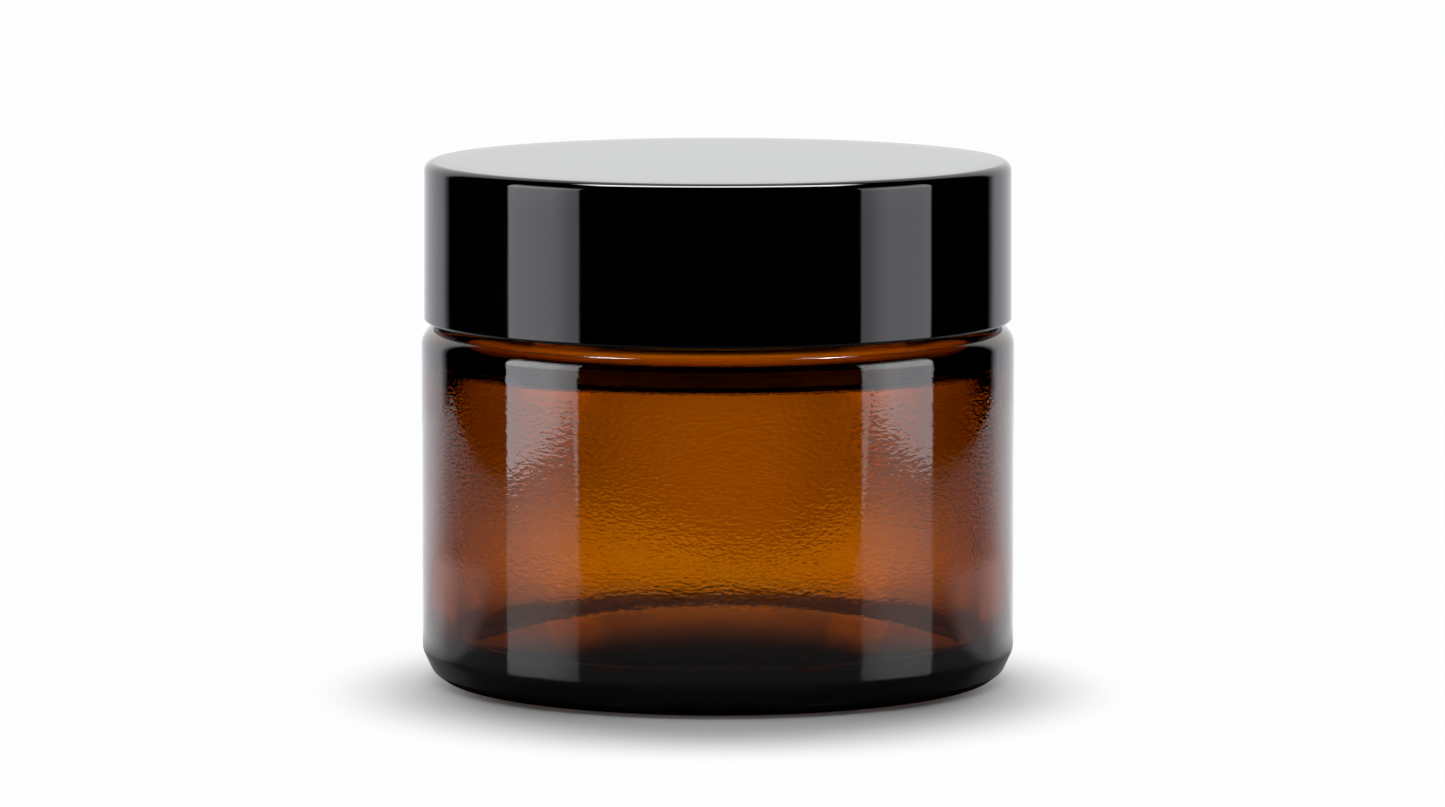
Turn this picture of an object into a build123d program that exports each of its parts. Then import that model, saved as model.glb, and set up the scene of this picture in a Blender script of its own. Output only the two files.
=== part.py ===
from build123d import *
import math
import os

# Cosmetic cream jar, 60 ml (2 oz), straight sided, with a 53-400 screw neck.
# Millimetres. +Z is the jar's axis, and the origin is the centre of the plane it rests on.

# ---------------------------------------------------------------- glass jar
jar_radius = 29.0  # straight wall, outside
ring_radius = 25.8  # middle of the flat ring the jar stands on
ring_half_width = 0.5
pushup = 0.9  # how far the middle of the base is lifted off the table
pushup_radius = 23.6
pushup_slope = 0.35  # fall of the base where it runs into the ring
heel_radius = 28.05  # where the rounded foot turns into the heel's cone
heel_foot_height = 0.85
heel_foot_rounding = 2.2
heel_top = 2.9  # the straight wall starts here
shoulder_height = 34.9  # ledge around the neck
shoulder_rounding = 2.1
ledge_rounding = 0.5  # hollow corner between ledge and neck

# ---------------------------------------------------------------- neck finish 53-400
neck_radius = 24.85  # E/2, root of the thread
thread_radius = 26.05  # T/2, crest of the thread
finish_height = 10.3  # H, ledge to rim
thread_lead = 25.4 / 6  # six threads to the inch, single start
thread_turns = 1.1
rim_to_thread = 1.17  # S, rim to the top of the thread
thread_base = 2.4  # height of the glass ridge at its root
thread_crest = 0.7
thread_crest_rounding = 0.3
thread_ramp = 25.0  # degrees over which each end of a thread grows
thread_root_overlap = 0.6  # how far a ridge is sunk into the wall it stands on
bore_radius = 22.2
rim_rounding = 0.7

# ---------------------------------------------------------------- cavity
cavity_radius = 25.4
cavity_floor = 3.3  # where the floor meets the wall
cavity_crown = 2.6  # the domed middle of the floor stands this much higher
cavity_corner = 1.6
cavity_shoulder = 30.8  # the straight cavity ends here and narrows to the bore
bore_bottom = 35.4
bore_blend = 1.5
shoulder_blend = 2.0

# ---------------------------------------------------------------- sealing disc
flange_radius = 24.6
flange_thickness = 1.0
plug_clearance = 0.08
plug_wall = 0.8
plug_depth = 2.6
plug_tip_rounding = 0.3
disc_edge_rounding = 0.25
dish_depth = 1.2  # the disc's middle lies this far below its flange
dish_radius = 19.8
dish_floor = 0.8  # thickness of the dished middle
tab_length = 7.5
tab_width = 9.0
tab_thickness = 0.6
tab_gap = 0.05  # under the tab, and round its hinge barrel
tab_hinge_x = -3.0  # axis of the hinge barrel, which runs along Y
tab_pad_length = 1.6
tab_tip_rounding = 3.0
grip_bar_width = 0.7
grip_bar_height = 0.3
grip_bar_length = 5.0
grip_bar_inset = 1.6  # from the tab's tip
finger_hollow_radius = 3.0
finger_hollow_depth = 0.35

# ---------------------------------------------------------------- lid
cap_bottom = 35.2
cap_top = 50.8
cap_radius_bottom = 28.75
cap_radius_top = 28.68  # the shell has a little draft
cap_top_rounding = 0.9
cap_rim_rounding = 0.3
shell_inner_radius = 27.62
contact_gap = 0.02  # between pieces that touch
liner_thickness = 1.5
liner_radius = 26.0
liner_edge_rounding = 0.15
plate_thickness = 1.4
insert_wall_radius = 27.25
insert_root_radius = 26.35  # root of the lid's thread
insert_crest_radius = 25.2  # crest of the lid's thread
insert_bottom = 35.95
insert_top_rounding = 0.5
insert_rim_rounding = 0.3
rib_count = 36
rib_width = 1.2
rib_radius = 27.6
rib_root_overlap = 0.3  # how far a rib is sunk into the wall
rib_top_drop = 1.5  # the ribs stop this far below the plate's top
lid_thread_base = 1.9
lid_thread_crest = 0.9
lid_thread_crest_rounding = 0.2
lid_thread_turns = 0.95
lid_thread_start = 60.0  # degrees around from where the glass thread starts
thread_engagement = 1.5  # lid thread centre below glass thread centre
snap_bead_depth = 0.3
snap_bead_height = 0.45

# ---------------------------------------------------------------- worked out
floor_top = cavity_floor + cavity_crown
rim_height = shoulder_height + finish_height
thread_top_centre = rim_height - rim_to_thread - thread_base / 2
thread_bottom_centre = thread_top_centre - thread_turns * thread_lead
lid_thread_rise = thread_lead * lid_thread_start / 360
lid_thread_bottom = thread_bottom_centre - thread_engagement + lid_thread_rise
flange_bottom = rim_height
flange_top = flange_bottom + flange_thickness
liner_bottom = flange_top + contact_gap
liner_top = liner_bottom + liner_thickness
plate_bottom = liner_top + contact_gap
plate_top = plate_bottom + plate_thickness
shell_ceiling = plate_top + contact_gap
dish_top = flange_top - dish_depth
plug_radius = bore_radius - plug_clearance
barrel_radius = tab_thickness / 2
barrel_height = dish_top + tab_gap + barrel_radius
tab_top = barrel_height + barrel_radius


def round_corner(section, radius_at, height_at, rounding):
    """Fillet the corner of a turned outline that lies nearest the point given."""
    corner = section.vertices().sort_by_distance((radius_at, height_at))[0]
    fillet(corner, rounding)


def ramp_plane(root_radius, crest_radius, end_angle, ramp_angle, height):
    """Level plane whose x axis runs up a thread end's ramp, from its root to its full depth."""
    root = Vector(root_radius, 0, height).rotate(Axis.Z, end_angle)
    full = Vector(crest_radius, 0, height).rotate(Axis.Z, end_angle + ramp_angle)
    return Plane(origin=root, x_dir=full - root, z_dir=(0, 0, 1))


def screw_ridge(root_radius, crest_radius, base, crest, rounding, bottom, turns):
    """One right-hand thread ridge on a cylinder, ramped down to its root at both ends.

    The crest lies outside the root on a neck and inside it in a lid.
    """
    depth = crest_radius - root_radius
    buried = -math.copysign(thread_root_overlap, depth)
    rise = turns * thread_lead
    with BuildPart() as ridge:
        with BuildLine() as path:
            Helix(thread_lead, rise, root_radius, center=(0, 0, bottom))
        spine = path.edges()[0]
        with BuildSketch(Plane(origin=spine @ 0, x_dir=(1, 0, 0), z_dir=spine % 0)) as profile:
            with BuildLine():
                Polyline(
                    (buried, -base / 2),
                    (0, -base / 2),
                    (depth, -crest / 2),
                    (depth, crest / 2),
                    (0, base / 2),
                    (buried, base / 2),
                    close=True,
                )
            make_face()
            crest_corners = profile.vertices().sort_by(Axis.X, reverse=depth > 0)[:2]
            fillet(crest_corners, rounding)
        sweep(path=spine, is_frenet=True)
        # a flat ramp at each end: the bottom end starts at angle 0, the top end at 360 * turns
        for end_angle, ramp_angle in ((0, thread_ramp), (360 * turns, -thread_ramp)):
            end_height = bottom + rise * end_angle / (360 * turns)
            ramp = ramp_plane(
                root_radius, crest_radius, end_angle, ramp_angle, end_height - thread_lead / 2
            )
            chord = crest_radius * math.radians(thread_ramp)
            side = Align.MAX if depth * ramp_angle > 0 else Align.MIN
            with BuildSketch(ramp):
                with Locations((-thread_lead, 0)):
                    Rectangle(chord + thread_lead, thread_lead, align=(Align.MIN, side))
            extrude(amount=thread_lead, mode=Mode.SUBTRACT)
    return ridge.part


# ================================================================ glass jar
with BuildPart() as glass_jar:
    with BuildSketch(Plane.XZ) as jar_outline:
        ring_outer = ring_radius + ring_half_width
        ring_inner = ring_radius - ring_half_width
        with BuildLine():
            Polyline((0, pushup), (pushup_radius, pushup))
            Spline(
                (pushup_radius, pushup),
                (ring_inner, 0),
                tangents=((1, 0), (1, -pushup_slope)),
            )
            Line((ring_inner, 0), (ring_outer, 0))
            RadiusArc((ring_outer, 0), (heel_radius, heel_foot_height), -heel_foot_rounding)
            Polyline(
                (heel_radius, heel_foot_height),
                (jar_radius, heel_top),
                (jar_radius, shoulder_height),
                (neck_radius, shoulder_height),
                (neck_radius, rim_height),
                (bore_radius, rim_height),
                (bore_radius, bore_bottom),
                (cavity_radius, cavity_shoulder),
                (cavity_radius, cavity_floor),
            )
            TangentArc((0, floor_top), (cavity_radius, cavity_floor), tangent=(1, 0))
            Line((0, floor_top), (0, pushup))
        make_face()
        round_corner(jar_outline, jar_radius, shoulder_height, shoulder_rounding)
        round_corner(jar_outline, neck_radius, shoulder_height, ledge_rounding)
        round_corner(jar_outline, neck_radius, rim_height, rim_rounding)
        round_corner(jar_outline, bore_radius, rim_height, rim_rounding)
        round_corner(jar_outline, bore_radius, bore_bottom, bore_blend)
        round_corner(jar_outline, cavity_radius, cavity_shoulder, shoulder_blend)
        round_corner(jar_outline, cavity_radius, cavity_floor, cavity_corner)
    revolve(axis=Axis.Z)
    add(
        screw_ridge(
            neck_radius,
            thread_radius,
            thread_base,
            thread_crest,
            thread_crest_rounding,
            thread_bottom_centre,
            thread_turns,
        )
    )
glass_jar.part.label = "glass_jar"

# ================================================================ lid: outer shell
with BuildPart() as cap_shell:
    with BuildSketch(Plane.XZ) as shell_outline:
        bead_top = insert_bottom - contact_gap
        bead_bottom = bead_top - snap_bead_height
        bead_radius = shell_inner_radius - snap_bead_depth
        with BuildLine():
            Polyline(
                (0, shell_ceiling),
                (shell_inner_radius, shell_ceiling),
                (shell_inner_radius, bead_top),
                (bead_radius, bead_top - snap_bead_height / 3),
                (bead_radius, bead_bottom + snap_bead_height / 3),
                (shell_inner_radius, bead_bottom),
                (shell_inner_radius, cap_bottom),
                (cap_radius_bottom, cap_bottom),
                (cap_radius_top, cap_top),
                (0, cap_top),
                (0, shell_ceiling),
            )
        make_face()
        round_corner(shell_outline, cap_radius_top, cap_top, cap_top_rounding)
        round_corner(shell_outline, cap_radius_bottom, cap_bottom, cap_rim_rounding)
    revolve(axis=Axis.Z)
cap_shell.part.label = "cap_shell"

# ================================================================ lid: threaded insert
with BuildPart() as inner_cap:
    with BuildSketch(Plane.XZ) as insert_outline:
        with BuildLine():
            Polyline(
                (0, plate_bottom),
                (insert_root_radius, plate_bottom),
                (insert_root_radius, insert_bottom),
                (insert_wall_radius, insert_bottom),
                (insert_wall_radius, plate_top),
                (0, plate_top),
                (0, plate_bottom),
            )
        make_face()
        round_corner(insert_outline, insert_wall_radius, plate_top, insert_top_rounding)
        round_corner(insert_outline, insert_root_radius, insert_bottom, insert_rim_rounding)
    revolve(axis=Axis.Z)
    # ribs that key the insert inside the shell
    rib_reach = rib_radius - insert_wall_radius + rib_root_overlap
    rib_middle = rib_radius - rib_reach / 2
    with BuildSketch(Plane.XY.offset(insert_bottom)):
        with PolarLocations(rib_middle, rib_count):
            Rectangle(rib_reach, rib_width)
    extrude(amount=plate_top - insert_bottom - rib_top_drop)
    add(
        screw_ridge(
            insert_root_radius,
            insert_crest_radius,
            lid_thread_base,
            lid_thread_crest,
            lid_thread_crest_rounding,
            lid_thread_bottom,
            lid_thread_turns,
        ),
        rotation=(0, 0, lid_thread_start),
    )
inner_cap.part.label = "inner_cap"

# ================================================================ lid: foam liner
with BuildPart() as cap_liner:
    with BuildSketch(Plane.XY.offset(liner_bottom)):
        Circle(liner_radius)
    extrude(amount=liner_thickness)
    fillet(cap_liner.edges().filter_by(GeomType.CIRCLE), liner_edge_rounding)
cap_liner.part.label = "cap_liner"

# ================================================================ sealing disc
with BuildPart() as sealing_disc:
    with BuildSketch(Plane.XZ) as disc_outline:
        with BuildLine():
            Polyline(
                (0, dish_top - dish_floor),
                (plug_radius - plug_wall, dish_top - dish_floor),
                (plug_radius - plug_wall, flange_bottom - plug_depth),
                (plug_radius, flange_bottom - plug_depth),
                (plug_radius, flange_bottom + contact_gap),
                (flange_radius, flange_bottom + contact_gap),
                (flange_radius, flange_top),
                (dish_radius, flange_top),
                (dish_radius - dish_depth / 2, dish_top),
                (0, dish_top),
                (0, dish_top - dish_floor),
            )
        make_face()
        round_corner(disc_outline, flange_radius, flange_top, disc_edge_rounding)
        round_corner(disc_outline, dish_radius, flange_top, disc_edge_rounding)
        round_corner(disc_outline, plug_radius, flange_bottom - plug_depth, plug_tip_rounding)
    revolve(axis=Axis.Z)
    # raised pad with a groove that the tab's barrel turns in
    with BuildSketch(Plane.XY.offset(dish_top)):
        with Locations((tab_hinge_x - tab_pad_length / 2, 0)):
            Rectangle(tab_pad_length, tab_width)
    extrude(amount=tab_gap + barrel_radius)
    with BuildSketch(Plane.XZ) as groove:
        with Locations((tab_hinge_x, barrel_height)):
            Circle(barrel_radius + tab_gap)
    extrude(amount=tab_width / 2 + tab_gap, both=True, mode=Mode.SUBTRACT)
    # finger hollow under the free end of the tab
    with BuildSketch(Plane.XY.offset(dish_top)):
        with Locations((tab_hinge_x + tab_length, 0)):
            Circle(finger_hollow_radius)
    extrude(amount=-finger_hollow_depth, mode=Mode.SUBTRACT)
sealing_disc.part.label = "sealing_disc"

# ================================================================ pull tab
with BuildPart() as disc_pull_tab:
    with BuildSketch(Plane.XY.offset(dish_top + tab_gap)) as tab_outline:
        with Locations((tab_hinge_x + tab_length / 2, 0)):
            Rectangle(tab_length, tab_width)
        fillet(tab_outline.vertices().group_by(Axis.X)[-1], tab_tip_rounding)
    extrude(amount=tab_thickness)
    # hinge barrel
    with BuildSketch(Plane.XZ):
        with Locations((tab_hinge_x, barrel_height)):
            Circle(barrel_radius)
    extrude(amount=tab_width / 2, both=True)
    # grip bar across the free end
    with BuildSketch(Plane.XY.offset(tab_top)):
        with Locations((tab_hinge_x + tab_length - grip_bar_inset, 0)):
            Rectangle(grip_bar_width, grip_bar_length)
    extrude(amount=grip_bar_height)
disc_pull_tab.part.label = "disc_pull_tab"

# ================================================================ write the pieces
os.makedirs("parts", exist_ok=True)
export_step(glass_jar.part, "parts/glass_jar.step")
export_step(cap_shell.part, "parts/cap_shell.step")
export_step(inner_cap.part, "parts/inner_cap.step")
export_step(cap_liner.part, "parts/cap_liner.step")
export_step(sealing_disc.part, "parts/sealing_disc.step")
export_step(disc_pull_tab.part, "parts/disc_pull_tab.step")
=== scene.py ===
"""Cosmetic cream jar: an amber glass jar with a gloss black screw lid, in a small product-photo set."""
import math

import bmesh
import bpy
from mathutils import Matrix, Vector


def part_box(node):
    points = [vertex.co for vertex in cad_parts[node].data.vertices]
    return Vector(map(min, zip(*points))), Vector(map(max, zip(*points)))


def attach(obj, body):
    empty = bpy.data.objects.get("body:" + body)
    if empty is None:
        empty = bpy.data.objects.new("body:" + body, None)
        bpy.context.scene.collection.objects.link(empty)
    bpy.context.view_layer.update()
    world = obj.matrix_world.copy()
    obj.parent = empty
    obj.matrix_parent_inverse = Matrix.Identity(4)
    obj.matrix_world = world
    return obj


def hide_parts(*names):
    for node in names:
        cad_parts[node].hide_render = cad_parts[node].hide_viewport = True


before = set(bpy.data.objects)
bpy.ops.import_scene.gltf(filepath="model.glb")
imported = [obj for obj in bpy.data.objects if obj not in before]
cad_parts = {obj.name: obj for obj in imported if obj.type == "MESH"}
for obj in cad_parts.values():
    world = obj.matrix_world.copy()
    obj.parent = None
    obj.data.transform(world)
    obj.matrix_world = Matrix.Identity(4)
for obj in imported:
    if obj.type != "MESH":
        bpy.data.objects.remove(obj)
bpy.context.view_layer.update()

MM = 0.001

# ---------------------------------------------------------------- sizes, in millimetres
jar_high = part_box("glass_jar")[1]
shell_low, shell_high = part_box("cap_shell")

JAR_R = jar_high.x / MM  # straight wall of the jar
RIM_Z = jar_high.z / MM  # sealing rim of the neck
NECK_HEIGHT = 10.3
SHOULDER_Z = RIM_Z - NECK_HEIGHT  # ledge round the neck
NECK_R = 24.85
THREAD_R = 26.05
THREAD_LEAD = 25.4 / 6
THREAD_TURNS = 1.1
THREAD_BASE = 2.4
THREAD_CREST = 0.7
THREAD_RAMP = 25.0  # degrees
THREAD_DROP = 1.17  # plain land between the rim and the thread's upper end
THREAD_TOP = RIM_Z - THREAD_DROP - THREAD_BASE / 2  # centre of the thread's upper end
THREAD_CLEAR = 0.6  # the neck is plain this far above its ledge
BORE_R = 22.2
BORE_BOTTOM = 35.4
CAVITY_R = 25.4
CAVITY_FLOOR = 3.3
CAVITY_CROWN = 2.6  # the middle of the floor is domed up by this much
DOME_R, DOME_STEP = 22, 2  # the dome's outermost drawn ring, and the step between its rings
CAVITY_SHOULDER = 30.8
RING_IN, RING_OUT = 25.3, 26.3  # flat ring that the jar stands on
FOOT_R = RING_OUT + 0.55
PUSHUP = 0.9
PUSHUP_R = 23.6
HEEL_R, HEEL_Z = 28.05, 0.85  # where the rounded foot meets the heel's cone
HEEL_TOP = 2.9

CAP_BOTTOM = shell_low.z / MM
CAP_TOP = shell_high.z / MM
CAP_R_BOTTOM, CAP_R_TOP = 28.75, 28.68
CAP_EDGE_ROUNDING = 0.9
SHELL_INNER_R = 27.62
SHELL_CEILING = 49.16
BEAD_TOP, BEAD_HEIGHT, BEAD_DEPTH, BEAD_FLANK = 35.93, 0.45, 0.3, 0.15  # snap bead in the shell

SEGMENTS = 360  # faces round each turned mesh


# ---------------------------------------------------------------- outlines and lathes
def rounded(corners, arc_step=6.0):
    """Turned outline from (radius, height, rounding) corners, each rounding drawn as an arc."""
    points = []
    last = len(corners) - 1
    for i, (radius, height, rounding) in enumerate(corners):
        here = Vector((radius, height))
        if rounding == 0 or i in (0, last):
            points.append(here)
            continue
        back = (Vector(corners[i - 1][:2]) - here).normalized()
        ahead = (Vector(corners[i + 1][:2]) - here).normalized()
        half = back.angle(ahead) / 2
        centre = here + (back + ahead).normalized() * (rounding / math.sin(half))
        start = here + back * (rounding / math.tan(half)) - centre
        end = here + ahead * (rounding / math.tan(half)) - centre
        sweep = start.angle_signed(end)
        steps = max(3, round(abs(math.degrees(sweep)) / arc_step))
        for k in range(steps + 1):
            turn = -sweep * k / steps
            cos, sin = math.cos(turn), math.sin(turn)
            points.append(
                centre + Vector((start.x * cos - start.y * sin, start.x * sin + start.y * cos))
            )
    return points


def subdivided(points, longest):
    """The same outline with no step longer than longest(middle of the step)."""
    out = [points[0]]
    for a, b in zip(points, points[1:]):
        parts = max(1, math.ceil((b - a).length / longest((a + b) / 2)))
        out += [a.lerp(b, k / parts) for k in range(1, parts + 1)]
    return out


def lathe(name, outline, shape=None):
    """Closed turned mesh. The outline starts and ends on the axis; shape(r, z, angle) -> (r, z)."""
    mesh = bmesh.new()
    rings = []
    for point in outline:
        if point.x < 1e-6:
            rings.append([mesh.verts.new((0, 0, point.y * MM))])
            continue
        ring = []
        for k in range(SEGMENTS):
            angle = 2 * math.pi * k / SEGMENTS
            r, z = shape(point.x, point.y, angle) if shape else (point.x, point.y)
            ring.append(mesh.verts.new((r * math.cos(angle) * MM, r * math.sin(angle) * MM, z * MM)))
        rings.append(ring)
    for lower, upper in zip(rings, rings[1:]):
        for k in range(SEGMENTS):
            n = (k + 1) % SEGMENTS
            if len(lower) == 1:
                mesh.faces.new((lower[0], upper[n], upper[k]))
            elif len(upper) == 1:
                mesh.faces.new((lower[k], lower[n], upper[0]))
            else:
                mesh.faces.new((lower[k], lower[n], upper[n], upper[k]))
    bmesh.ops.recalc_face_normals(mesh, faces=mesh.faces)
    data = bpy.data.meshes.new(name)
    mesh.to_mesh(data)
    mesh.free()
    data.shade_smooth()
    piece = bpy.data.objects.new(name, data)
    bpy.context.scene.collection.objects.link(piece)
    return piece


def smooth(low, high, value):
    """Smooth step from 0 at low to 1 at high."""
    t = min(1.0, max(0.0, (value - low) / (high - low)))
    return t * t * (3 - 2 * t)


# ---------------------------------------------------------------- node helpers
class Graph:
    """Short calls for building a node tree."""

    def __init__(self, tree):
        self.tree = tree
        tree.nodes.clear()

    def add(self, kind, inputs=None, **settings):
        node = self.tree.nodes.new(kind)
        for key, value in settings.items():
            setattr(node, key, value)
        for key, value in (inputs or {}).items():
            self.put(node.inputs[key], value)
        return node

    def put(self, socket, value):
        if isinstance(value, bpy.types.NodeSocket):
            self.tree.links.new(value, socket)
        else:
            socket.default_value = value

    def math(self, operation, a, b=0.0, c=0.0):
        node = self.add("ShaderNodeMath", operation=operation)
        for socket, value in zip(node.inputs, (a, b, c)):
            self.put(socket, value)
        return node.outputs[0]

    def step(self, value, low, high, out_low=0.0, out_high=1.0):
        """Smooth step from out_low to out_high, as value goes from low to high."""
        node = self.add(
            "ShaderNodeMapRange",
            {"Value": value, "From Min": low, "From Max": high, "To Min": out_low, "To Max": out_high},
            interpolation_type="SMOOTHSTEP",
        )
        return node.outputs["Result"]

    def band(self, value, low, high, soft):
        """1 between low and high, and 0 outside, with soft edges."""
        rise = self.step(value, low - soft, low + soft)
        fall = self.step(value, high - soft, high + soft, 1.0, 0.0)
        return self.math("MULTIPLY", rise, fall)

    def mix(self, amount, a, b):
        node = self.add("ShaderNodeMix", data_type="RGBA")
        self.put(node.inputs["Factor"], amount)
        self.put(node.inputs["A"], a)
        self.put(node.inputs["B"], b)
        return node.outputs["Result"]

    def noise(self, where, scale, detail=2.0):
        inputs = {"Vector": where, "Scale": scale, "Detail": detail}
        return self.add("ShaderNodeTexNoise", inputs).outputs["Fac"]

    def radius(self, where):
        """Distance of a point from the jar's axis."""
        split = self.add("ShaderNodeSeparateXYZ", {"Vector": where}).outputs
        squares = self.math("ADD", self.math("POWER", split["X"], 2), self.math("POWER", split["Y"], 2))
        return self.math("SQRT", squares)

    def ray(self, kind):
        """1 for rays of a kind, such as "Is Camera Ray", and 0 for others."""
        return self.add("ShaderNodeLightPath").outputs[kind]


def new_material(name):
    """A new material, its emptied node graph, and where each point lies on the object, in metres."""
    material = bpy.data.materials.new(name)
    material.use_nodes = True
    graph = Graph(material.node_tree)
    where = graph.add("ShaderNodeTexCoord").outputs["Object"]
    return material, graph, where


# ---------------------------------------------------------------- materials
# absorption of the amber glass, per metre, for red, green and blue
AMBER_ABSORPTION = (182.0, 400.0, 1080.0)
GLASS_IOR = 1.52

WAVE_DEPTH = 0.000026  # metres, full height of the small waves in the glass
WAVE_FLATNESS = 1.9  # the waves are this much longer round the jar than up it
CAVITY_WAVES = 1800.0  # waves per metre on the cavity's wall
OUTER_WAVES = 1450.0  # waves per metre on the outer wall
OUTER_SHARE = 0.22  # height of the outer waves, as a share of WAVE_DEPTH
DRIFT_WAVES, DRIFT_SHARE = 260.0, 0.12  # slow drift of all faces
WALL_MIDDLE = (0.0258, 0.0265)  # radii between the cavity's wall and the outer wall


def amber_glass():
    """Amber soda-lime glass: clear surface with a faint moulding ripple, colour from its depth."""
    material, g, where = new_material("amber_glass")
    stretch = {0: where, 1: (1, 1, WAVE_FLATNESS)}
    flat = g.add("ShaderNodeVectorMath", stretch, operation="MULTIPLY").outputs[0]
    radius = g.radius(where)
    height_on_jar = g.add("ShaderNodeSeparateXYZ", {"Vector": where}).outputs["Z"]
    straight_wall = g.math(
        "MULTIPLY", g.step(height_on_jar, 0.008, 0.016), g.step(height_on_jar, 0.029, 0.032, 1.0, 0.1)
    )
    on_cavity_wall = g.math("MULTIPLY", g.step(radius, *WALL_MIDDLE, 1.0, 0.0), straight_wall)
    inner = g.math("MULTIPLY", g.noise(flat, CAVITY_WAVES, 1.0), on_cavity_wall)
    outside = g.step(radius, *WALL_MIDDLE, 0.0, OUTER_SHARE)
    outer = g.math("MULTIPLY", g.noise(flat, OUTER_WAVES, 1.0), outside)
    drift = g.math("MULTIPLY", g.noise(where, DRIFT_WAVES, 1.0), DRIFT_SHARE)
    height = g.math("ADD", g.math("ADD", inner, outer), drift)
    bump = g.add("ShaderNodeBump", {"Strength": 1.0, "Distance": WAVE_DEPTH, "Height": height})
    surface = g.add(
        "ShaderNodeBsdfPrincipled",
        {
            "Base Color": (1, 1, 1, 1),
            "Roughness": 0.0,
            "IOR": GLASS_IOR,
            "Transmission Weight": 1.0,
            "Normal": bump.outputs["Normal"],
        },
    )
    # the absorption colour is 1 - absorption / density, and the density keeps every channel above 0
    density = max(AMBER_ABSORPTION) * 1.02
    keep = [1 - absorption / density for absorption in AMBER_ABSORPTION]
    volume = g.add("ShaderNodeVolumeAbsorption", {"Color": (*keep, 1), "Density": density})
    g.add("ShaderNodeOutputMaterial", {"Surface": surface.outputs[0], "Volume": volume.outputs[0]})
    return material


def black_gloss():
    """High-gloss black plastic with a faint orange peel and slightly uneven gloss."""
    material, g, where = new_material("black_gloss")
    peel = g.noise(where, 420.0, 1.0)
    haze = g.noise(where, 90.0, 3.0)
    bump = g.add("ShaderNodeBump", {"Strength": 1.0, "Distance": 0.0000012, "Height": peel})
    colour = g.mix(haze, (0.0002, 0.0002, 0.0003, 1), (0.0006, 0.0006, 0.0008, 1))
    roughness = g.step(haze, 0.3, 0.8, 0.02, 0.05)
    surface = g.add(
        "ShaderNodeBsdfPrincipled",
        {
            "Base Color": colour,
            "Roughness": roughness,
            "IOR": 1.38,
            "Normal": bump.outputs["Normal"],
        },
    )
    g.add("ShaderNodeOutputMaterial", {"Surface": surface.outputs[0]})
    return material


def satin_plastic(name, dark, light, roughness, grain, depth):
    """Moulded plastic with a fine spark-eroded grain and slight tone drift."""
    material, g, where = new_material(name)
    fine = g.noise(where, grain, 2.0)
    tone = g.noise(where, 120.0, 2.0)
    bump = g.add("ShaderNodeBump", {"Strength": 0.6, "Distance": depth, "Height": fine})
    surface = g.add(
        "ShaderNodeBsdfPrincipled",
        {
            "Base Color": g.mix(tone, dark, light),
            "Roughness": g.step(fine, 0.2, 0.8, roughness - 0.08, roughness + 0.08),
            "IOR": 1.49,
            "Normal": bump.outputs["Normal"],
        },
    )
    g.add("ShaderNodeOutputMaterial", {"Surface": surface.outputs[0]})
    return material


def foam():
    """Fine closed-cell foam."""
    material, g, where = new_material("white_foam")
    cells = g.add("ShaderNodeTexVoronoi", {"Vector": where, "Scale": 3800.0}).outputs["Distance"]
    bump = g.add("ShaderNodeBump", {"Strength": 0.7, "Distance": 0.00008, "Height": cells})
    surface = g.add(
        "ShaderNodeBsdfPrincipled",
        {
            "Base Color": g.mix(cells, (0.62, 0.61, 0.58, 1), (0.86, 0.86, 0.84, 1)),
            "Roughness": 0.75,
            "IOR": 1.45,
            "Normal": bump.outputs["Normal"],
        },
    )
    g.add("ShaderNodeOutputMaterial", {"Surface": surface.outputs[0]})
    return material


# ---------------------------------------------------------------- glass jar
def thread_height(z, angle):
    """How far the thread stands out of the neck at a height and angle."""
    thread_low = THREAD_TOP - THREAD_TURNS * THREAD_LEAD
    span = 360 * THREAD_TURNS
    best = 0.0
    for turn in (0, 1):
        along = math.degrees(angle) + 360 * turn
        if along > span:
            continue
        ramp = smooth(0, THREAD_RAMP, min(along, span - along))
        off = abs(z - (thread_low + THREAD_LEAD * along / 360))
        flank = smooth(-THREAD_BASE / 2, -THREAD_CREST / 2, -off)
        best = max(best, ramp * flank)
    return best * (THREAD_R - NECK_R)


def glass_shape(r, z, angle):
    """Raises the thread on the neck's wall, and leaves every other point where it is."""
    on_neck = abs(r - NECK_R) < 0.01 and z > SHOULDER_Z + THREAD_CLEAR
    return (r + thread_height(z, angle) if on_neck else r), z


def glass_step(point):
    """Longest outline step, in millimetres: fine on the threaded neck, medium elsewhere."""
    on_neck = abs(point.x - NECK_R) < 0.05 and point.y > SHOULDER_Z
    return 0.22 if on_neck else 1.6


def floor_dome():
    """Points of the cavity's domed floor, a parabola, from near its edge to the axis."""
    return [
        (r, CAVITY_FLOOR + CAVITY_CROWN * (1 - (r / CAVITY_R) ** 2), 0)
        for r in range(DOME_R, -1, -DOME_STEP)
    ]


def make_glass_jar():
    """The jar, turned on the outline of its CAD solid, with the thread on its neck."""
    outline = rounded(
        [
            (0, PUSHUP, 0),
            (PUSHUP_R, PUSHUP, 0.9),
            (RING_IN, 0, 0.4),
            (FOOT_R, 0, 1.1),
            (HEEL_R, HEEL_Z, 1.4),
            (JAR_R, HEEL_TOP, 1.6),
            (JAR_R, SHOULDER_Z, 2.1),
            (NECK_R, SHOULDER_Z, 0.5),
            (NECK_R, RIM_Z, 0.7),
            (BORE_R, RIM_Z, 0.7),
            (BORE_R, BORE_BOTTOM, 1.5),
            (CAVITY_R, CAVITY_SHOULDER, 2.0),
            (CAVITY_R, CAVITY_FLOOR, 1.6),
            *floor_dome(),
        ]
    )
    jar = lathe("amber_jar", subdivided(outline, glass_step), glass_shape)
    jar.data.materials.append(amber_glass())
    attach(jar, "jar")
    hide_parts("glass_jar")


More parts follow.
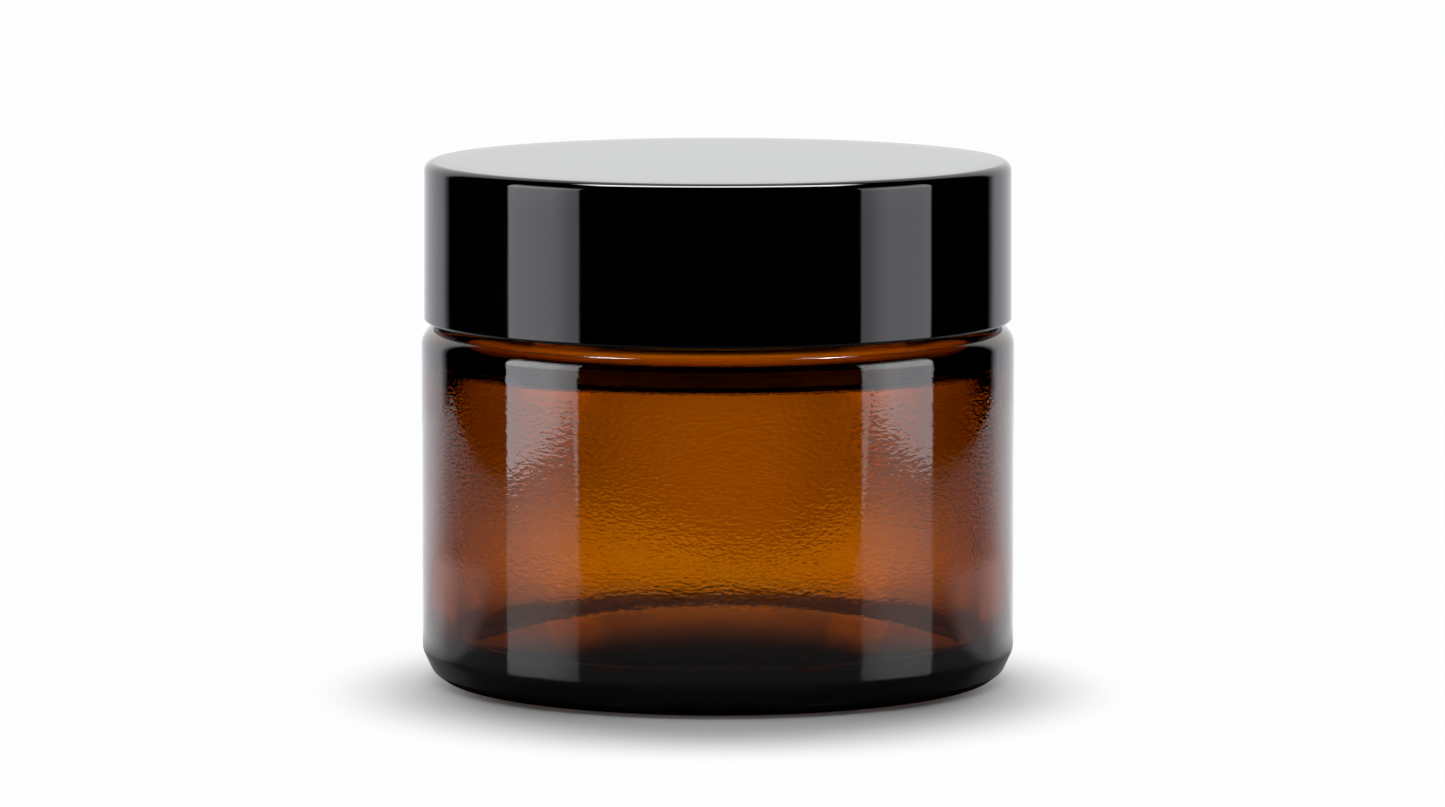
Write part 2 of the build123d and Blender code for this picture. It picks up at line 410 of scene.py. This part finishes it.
# ---------------------------------------------------------------- lid shell
def make_cap_shell():
    """The lid's gloss shell, turned on the outline of its CAD solid."""
    bead_bottom = BEAD_TOP - BEAD_HEIGHT
    bead_r = SHELL_INNER_R - BEAD_DEPTH
    outline = rounded(
        [
            (0, SHELL_CEILING, 0),
            (SHELL_INNER_R, SHELL_CEILING, 0),
            (SHELL_INNER_R, BEAD_TOP, 0),
            (bead_r, BEAD_TOP - BEAD_FLANK, 0),
            (bead_r, bead_bottom + BEAD_FLANK, 0),
            (SHELL_INNER_R, bead_bottom, 0),
            (SHELL_INNER_R, CAP_BOTTOM, 0.15),
            (CAP_R_BOTTOM, CAP_BOTTOM, 0.3),
            (CAP_R_TOP, CAP_TOP, CAP_EDGE_ROUNDING),
            (0, CAP_TOP, 0),
        ],
        arc_step=5.0,
    )
    shell = lathe("gloss_shell", subdivided(outline, lambda point: 3.0))
    shell.data.materials.append(black_gloss())
    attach(shell, "cap")
    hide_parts("cap_shell")


# ---------------------------------------------------------------- stage
BACKGROUND = (0.982, 0.986, 0.983, 1)


def make_plane(name, corners, height):
    """A flat stage piece with the given corners, at one height."""
    mesh = bmesh.new()
    mesh.faces.new([mesh.verts.new((x, y, height)) for x, y in corners])
    data = bpy.data.meshes.new(name)
    mesh.to_mesh(data)
    mesh.free()
    plane = bpy.data.objects.new(name, data)
    bpy.context.scene.collection.objects.link(plane)
    return plane


def show_only_to(thing, camera=False, diffuse=False, glossy=False, transmission=False, shadow=False):
    """Limits a stage piece to the kinds of ray that are named."""
    thing.visible_camera = camera
    thing.visible_diffuse = diffuse
    thing.visible_glossy = glossy
    thing.visible_transmission = transmission
    thing.visible_shadow = shadow


# stage sizes in metres
FLOOR_HALF_WIDTH = 6
FLOOR_Z = -0.00005
SHEET_Z = -0.0001  # just under the floor, which only the camera sees


def make_floor():
    """The pale floor that the camera sees: it takes the shadow, and fades to plain white."""
    half = FLOOR_HALF_WIDTH
    floor = make_plane("pale_floor", [(-half, -half), (half, -half), (half, half), (-half, half)], FLOOR_Z)
    material, g, where = new_material("pale_floor")
    split = g.add("ShaderNodeSeparateXYZ", {"Vector": where}).outputs
    # the lit floor is an ellipse, narrower from side to side, 10 mm in front of the jar's axis
    wide = g.math("MULTIPLY", g.math("POWER", split["X"], 2), 1.3)
    deep = g.math("POWER", g.math("ADD", split["Y"], 0.01), 2)
    fade = g.step(g.math("SQRT", g.math("ADD", wide, deep)), 0.024, 0.046)
    diffuse = g.add("ShaderNodeBsdfDiffuse", {"Color": (0.5, 0.5, 0.508, 1)})
    plain = g.add("ShaderNodeEmission", {"Color": BACKGROUND, "Strength": 1.0})
    both = g.add("ShaderNodeMixShader")
    g.put(both.inputs[0], fade)
    g.put(both.inputs[1], diffuse.outputs[0])
    g.put(both.inputs[2], plain.outputs[0])
    g.add("ShaderNodeOutputMaterial", {"Surface": both.outputs[0]})
    floor.data.materials.append(material)
    show_only_to(floor, camera=True)


# outline of the sheet in metres, +y away from the camera, in the order in which it is drawn
SHEET_FRONT = [(-0.222, -0.157), (-0.084, -0.0815), (-0.054, -0.106), (0, -0.12)]
SHEET_FRONT += [(0.054, -0.106), (0.084, -0.0815), (0.24, -0.15)]
SHEET_RIGHT = [(0.209, 0), (0.212, 0.164), (0.11, 0.235), (0.031, 0.21)]
SHEET_NOTCH = [(0.027, 0.171), (0.021, 0.130), (0.0134, 0.104), (0.0043, 0.093)]
SHEET_NOTCH += [(-0.0042, 0.104), (-0.0124, 0.123), (-0.023, 0.154), (-0.027, 0.189), (-0.031, 0.21)]
SHEET_LEFT = [(-0.11, 0.22), (-0.235, 0.134), (-0.2, 0)]

SHEET_PAINTED_GLOW = 1.55  # painted glow: emission on the sheet's rear, seen through the glass, in place of the backdrop's light on it
FLANK_PAINTED_GLOW = 0.65  # the same painted glow, to either side of the jar's rear


def painted_glow_through_glass(g, split, radius, slant):
    """Strength of the sheet's painted glow for rays that come through the glass."""
    y = split["Y"]
    rear = g.math("MULTIPLY", g.step(y, 0.03, 0.09), g.step(y, 0.10, 0.17, SHEET_PAINTED_GLOW, 0.0))
    rear = g.math("MULTIPLY", rear, g.step(g.math("ABSOLUTE", split["X"]), 0.01, 0.07, 1.0, 0.5))
    flank = g.math("MULTIPLY", g.step(slant, 0.35, 0.5), g.step(slant, 1.15, 1.4, 1.0, 0.0))
    flank = g.math("MULTIPLY", flank, g.step(radius, 0.057, 0.070))
    flank = g.math("MULTIPLY", flank, g.step(radius, 0.100, 0.120, FLANK_PAINTED_GLOW, 0.0))
    return g.math("ADD", rear, flank)


def painted_glow_in_reflections(g, radius, slant):
    """Strength of the sheet's painted glow for all other rays: a painted reflection of the backdrop,
    stronger towards its rear.
    """
    close = g.math("ADD", g.step(slant, -0.15, 0.05, 0.0, 0.40), g.step(slant, 0.15, 0.5, 0.0, 0.22))
    close = g.math("MULTIPLY", close, g.step(radius, 0.105, 0.13, 1.0, 0.0))
    rear = g.math("MAXIMUM", g.step(slant, 0.2, 1.1, 0.06, 0.72), close)
    return g.math("MULTIPLY", rear, g.step(radius, 0.03, 0.05))


def make_sheet():
    """The small white sheet under the jar, which the glass and the lid reflect. It carries painted shade
    under and near the jar, and a painted glow.
    """
    sheet = make_plane("white_sheet", SHEET_FRONT + SHEET_RIGHT + SHEET_NOTCH + SHEET_LEFT, SHEET_Z)
    material, g, where = new_material("white_sheet")
    split = g.add("ShaderNodeSeparateXYZ", {"Vector": where}).outputs
    radius = g.radius(where)
    # rise of the line from the jar's axis: 0 straight to either side, large towards the rear
    slant = g.math("DIVIDE", split["Y"], g.math("MAXIMUM", g.math("ABSOLUTE", split["X"]), 0.001))
    # painted glow: emission on the sheet, stronger towards its rear, standing in for the backdrop's light
    # that it would take and reflect
    through = g.ray("Is Transmission Ray")
    behind = g.math("MULTIPLY", through, painted_glow_through_glass(g, split, radius, slant))
    rear = g.math("MULTIPLY", g.math("SUBTRACT", 1.0, through), painted_glow_in_reflections(g, radius, slant))
    # painted shadow: the sheet's colour is darker under the jar and in a ring close round it, where the
    # jar shades it
    painted_shadow_under_jar = g.mix(g.step(split["Y"], -0.004, 0.030), (0.015, 0.015, 0.016, 1), (0.17, 0.17, 0.18, 1))
    painted_shade_near = g.mix(g.step(radius, 0.026, 0.03), painted_shadow_under_jar, (0.11, 0.11, 0.118, 1))
    paper_and_painted_shade = g.mix(g.step(radius, 0.07, 0.15), painted_shade_near, (0.27, 0.277, 0.295, 1))
    grazing = g.math("MULTIPLY", g.add("ShaderNodeFresnel", {"IOR": 1.5}).outputs[0], 2.5)
    sheen = g.math("MULTIPLY", grazing, g.step(radius, 0.05, 0.11, 0.17, 0.1))
    parts = [
        g.add("ShaderNodeBsdfDiffuse", {"Color": paper_and_painted_shade}),
        g.add("ShaderNodeBsdfAnisotropic", {"Color": sheen, "Roughness": 0.12}),
        g.add("ShaderNodeEmission", {"Color": (0.92, 1.22, 1, 1), "Strength": behind}),
        g.add("ShaderNodeEmission", {"Color": (0.98, 0.99, 1.02, 1), "Strength": rear}),
    ]
    surface = parts[0].outputs[0]
    for part in parts[1:]:
        surface = g.add("ShaderNodeAddShader", {0: surface, 1: part.outputs[0]}).outputs[0]
    g.add("ShaderNodeOutputMaterial", {"Surface": surface})
    sheet.data.materials.append(material)
    show_only_to(sheet, diffuse=True, glossy=True, transmission=True, shadow=True)


# ---------------------------------------------------------------- studio light
# strength of each light
BACKDROP_LIGHT = 1.08
BACKDROP_BELOW = 1.0  # the lower part of the backdrop
STRIP_LIGHT = 4.0
OVERHEAD_LIGHT = 6.0
OVERHEAD_GLINT = 30.0  # the overhead light as polished edges reflect it

# places in degrees. side: 0 towards the camera, 180 behind the jar. rise: 0 level, 90 straight up.
# over: 0 level behind the jar, 90 straight up, 180 level towards the camera
BACKDROP_EDGE = (129, 138)
BACKDROP_TOP = (60, 74)
STRIP_EDGES = (55.5, 89.5)
STRIP_TOP = (14, 26)
OVERHEAD_EDGES = (80, 98)
OVERHEAD_ENDS = (58, 64)
LEVEL = (-5, 3)  # where lights change from their lower to their upper part
RIGHT_SHIFT = 2.0  # the lights on the right stand this much further round
CAMERA_STEEP = (0.55, 0.8)  # sines of the camera's tilt between which the overhead light goes off


def studio_directions(g):
    """A ray's rightward part, side, rise and over, as the camera stands, and the camera's tilt."""
    toward = g.add("ShaderNodeTexCoord").outputs["Generated"]
    look = g.add(
        "ShaderNodeVectorTransform",
        {"Vector": (0, 0, 1)},
        vector_type="VECTOR",
        convert_from="CAMERA",
        convert_to="WORLD",
    ).outputs[0]
    level = g.add("ShaderNodeVectorMath", {0: look, 1: (1, 1, 0)}, operation="MULTIPLY").outputs[0]
    ahead = g.add("ShaderNodeVectorMath", {0: level}, operation="NORMALIZE").outputs[0]
    f = g.add("ShaderNodeSeparateXYZ", {"Vector": ahead}).outputs
    d = g.add("ShaderNodeSeparateXYZ", {"Vector": toward}).outputs
    forward = g.math("ADD", g.math("MULTIPLY", d["X"], f["X"]), g.math("MULTIPLY", d["Y"], f["Y"]))
    right = g.math("SUBTRACT", g.math("MULTIPLY", d["X"], f["Y"]), g.math("MULTIPLY", d["Y"], f["X"]))
    backward = g.math("MULTIPLY", forward, -1.0)
    to_degrees = 180 / math.pi
    side = g.math("MULTIPLY", g.math("ARCTAN2", g.math("ABSOLUTE", right), backward), to_degrees)
    rise = g.math("MULTIPLY", g.math("ARCSINE", d["Z"]), to_degrees)
    over = g.math("MULTIPLY", g.math("ARCTAN2", d["Z"], forward), to_degrees)
    tilt = g.math("ABSOLUTE", g.add("ShaderNodeSeparateXYZ", {"Vector": look}).outputs["Z"])
    return right, side, rise, over, tilt


def backdrop_light(g, right, side, edge, rise, through):
    """The backdrop. Through the glass its foot is brighter, and it is streaked and narrower."""
    light = g.math("MULTIPLY", g.step(edge, *BACKDROP_EDGE), g.step(rise, *BACKDROP_TOP, 1.0, 0.0))
    light = g.math("MULTIPLY", light, g.step(rise, *LEVEL, BACKDROP_BELOW, BACKDROP_LIGHT))
    unseen = g.math("MAXIMUM", g.step(side, 146, 168, 1.0, 0.0), g.step(rise, 5, 24))
    unseen = g.math("MAXIMUM", unseen, g.step(side, 175.5, 179.5, 0.3, 0.0))
    light = g.math("MULTIPLY", light, g.math("SUBTRACT", 1.0, g.math("MULTIPLY", through, unseen)))
    around = g.add("ShaderNodeCombineXYZ", {"X": g.math("MULTIPLY", right, 60.0)}).outputs[0]
    streaks = g.step(g.noise(around, 1.0, 2.0), 0.3, 0.7, -0.09, 0.09)
    foot = g.math("ADD", g.step(rise, -7.3, -6.9, 0.35, 0.0), streaks)
    return g.math("MULTIPLY", light, g.math("MULTIPLY_ADD", foot, through, 1.0))


def strip_lights(g, edge, rise, is_right, through):
    """An upright strip light on each side, dimmer at its foot, its front edge and on the right."""
    light = g.math("MULTIPLY", g.band(edge, *STRIP_EDGES, 0.7), g.step(edge, 56, 70, 0.6, 1.0))
    light = g.math("MULTIPLY", light, g.step(rise, *STRIP_TOP, STRIP_LIGHT, 0.0))
    light = g.math("MULTIPLY", light, g.step(rise, -4.5, 2, 1.0, 1.6))
    extra = g.step(rise, -7.3, -6.7, 0.0, 0.5)
    light = g.math("MULTIPLY", light, g.math("MULTIPLY_ADD", through, extra, 1.0))
    dimmer = g.math("MULTIPLY", is_right, g.step(edge, 64, 84, 0.08, 0.2))
    return g.math("MULTIPLY", light, g.math("SUBTRACT", 1.0, dimmer))


def overhead_light(g, over, rise, tilt):
    """A long light overhead. It goes off under a steep camera, where the lid's top would mirror it."""
    light = g.math("MULTIPLY", g.band(over, *OVERHEAD_EDGES, 1.5), g.step(rise, *OVERHEAD_ENDS))
    light = g.math("MULTIPLY", light, g.step(tilt, *CAMERA_STEEP, 1.0, 0.0))
    glint = OVERHEAD_GLINT - OVERHEAD_LIGHT
    strength = g.math("MULTIPLY_ADD", g.ray("Is Glossy Ray"), glint, OVERHEAD_LIGHT)
    return g.math("MULTIPLY", light, strength)


def make_world():
    """Studio light: a backdrop behind, a strip light on each side and one light overhead.

    The lights turn with the camera, so the jar is lit alike from every side.
    """
    world = bpy.data.worlds.new("studio")
    bpy.context.scene.world = world
    world.use_nodes = True
    g = Graph(world.node_tree)
    right, side, rise, over, tilt = studio_directions(g)
    is_right = g.math("GREATER_THAN", right, 0.0)
    edge = g.math("SUBTRACT", side, g.math("MULTIPLY", is_right, RIGHT_SHIFT))
    through = g.ray("Is Transmission Ray")
    backdrop = backdrop_light(g, right, side, edge, rise, through)
    strips = strip_lights(g, edge, rise, is_right, through)
    light = g.math("ADD", g.math("ADD", backdrop, strips), overhead_light(g, over, rise, tilt))
    tint = g.mix(g.step(rise, *LEVEL), (0.965, 0.98, 1.03, 1), (0.975, 0.99, 0.985, 1))
    studio = g.add("ShaderNodeBackground", {"Color": tint, "Strength": light})
    plain = g.add("ShaderNodeBackground", {"Color": BACKGROUND, "Strength": 1.0})
    both = g.add("ShaderNodeMixShader")
    g.put(both.inputs[0], g.ray("Is Camera Ray"))
    g.put(both.inputs[1], studio.outputs[0])
    g.put(both.inputs[2], plain.outputs[0])
    g.add("ShaderNodeOutputWorld", {"Surface": both.outputs[0]})


# ---------------------------------------------------------------- camera
CAMERA_PLACE = (0.00045, -0.773, 0.1137)
CAMERA_TILT = 6.41  # degrees below level
CAMERA_LENS, SENSOR_WIDTH = 197.7, 36.0  # millimetres


def make_camera():
    """Long lens a little above the jar, looking slightly down."""
    data = bpy.data.cameras.new("camera")
    data.sensor_width = SENSOR_WIDTH
    data.lens = CAMERA_LENS
    data.clip_start, data.clip_end = 0.05, 50
    camera = bpy.data.objects.new("camera", data)
    camera.location = CAMERA_PLACE
    camera.rotation_euler = (math.radians(90 - CAMERA_TILT), 0, 0)
    bpy.context.scene.collection.objects.link(camera)
    bpy.context.scene.camera = camera


# ---------------------------------------------------------------- build
make_glass_jar()
make_cap_shell()

black_insert = satin_plastic(
    "black_insert", (0.012, 0.012, 0.013, 1), (0.02, 0.02, 0.021, 1), 0.42, 2600.0, 0.00002
)
white_plastic = satin_plastic(
    "white_plastic", (0.74, 0.74, 0.72, 1), (0.84, 0.84, 0.83, 1), 0.4, 1800.0, 0.00001
)
white_foam = foam()
finishes = {
    "inner_cap": black_insert,
    "cap_liner": white_foam,
    "sealing_disc": white_plastic,
    "disc_pull_tab": white_plastic,
}
for node, finish in finishes.items():
    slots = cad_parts[node].data.materials
    slots.clear()
    slots.append(finish)

make_floor()
make_sheet()
make_world()
make_camera()
bpy.context.scene.view_settings.view_transform = "Standard"
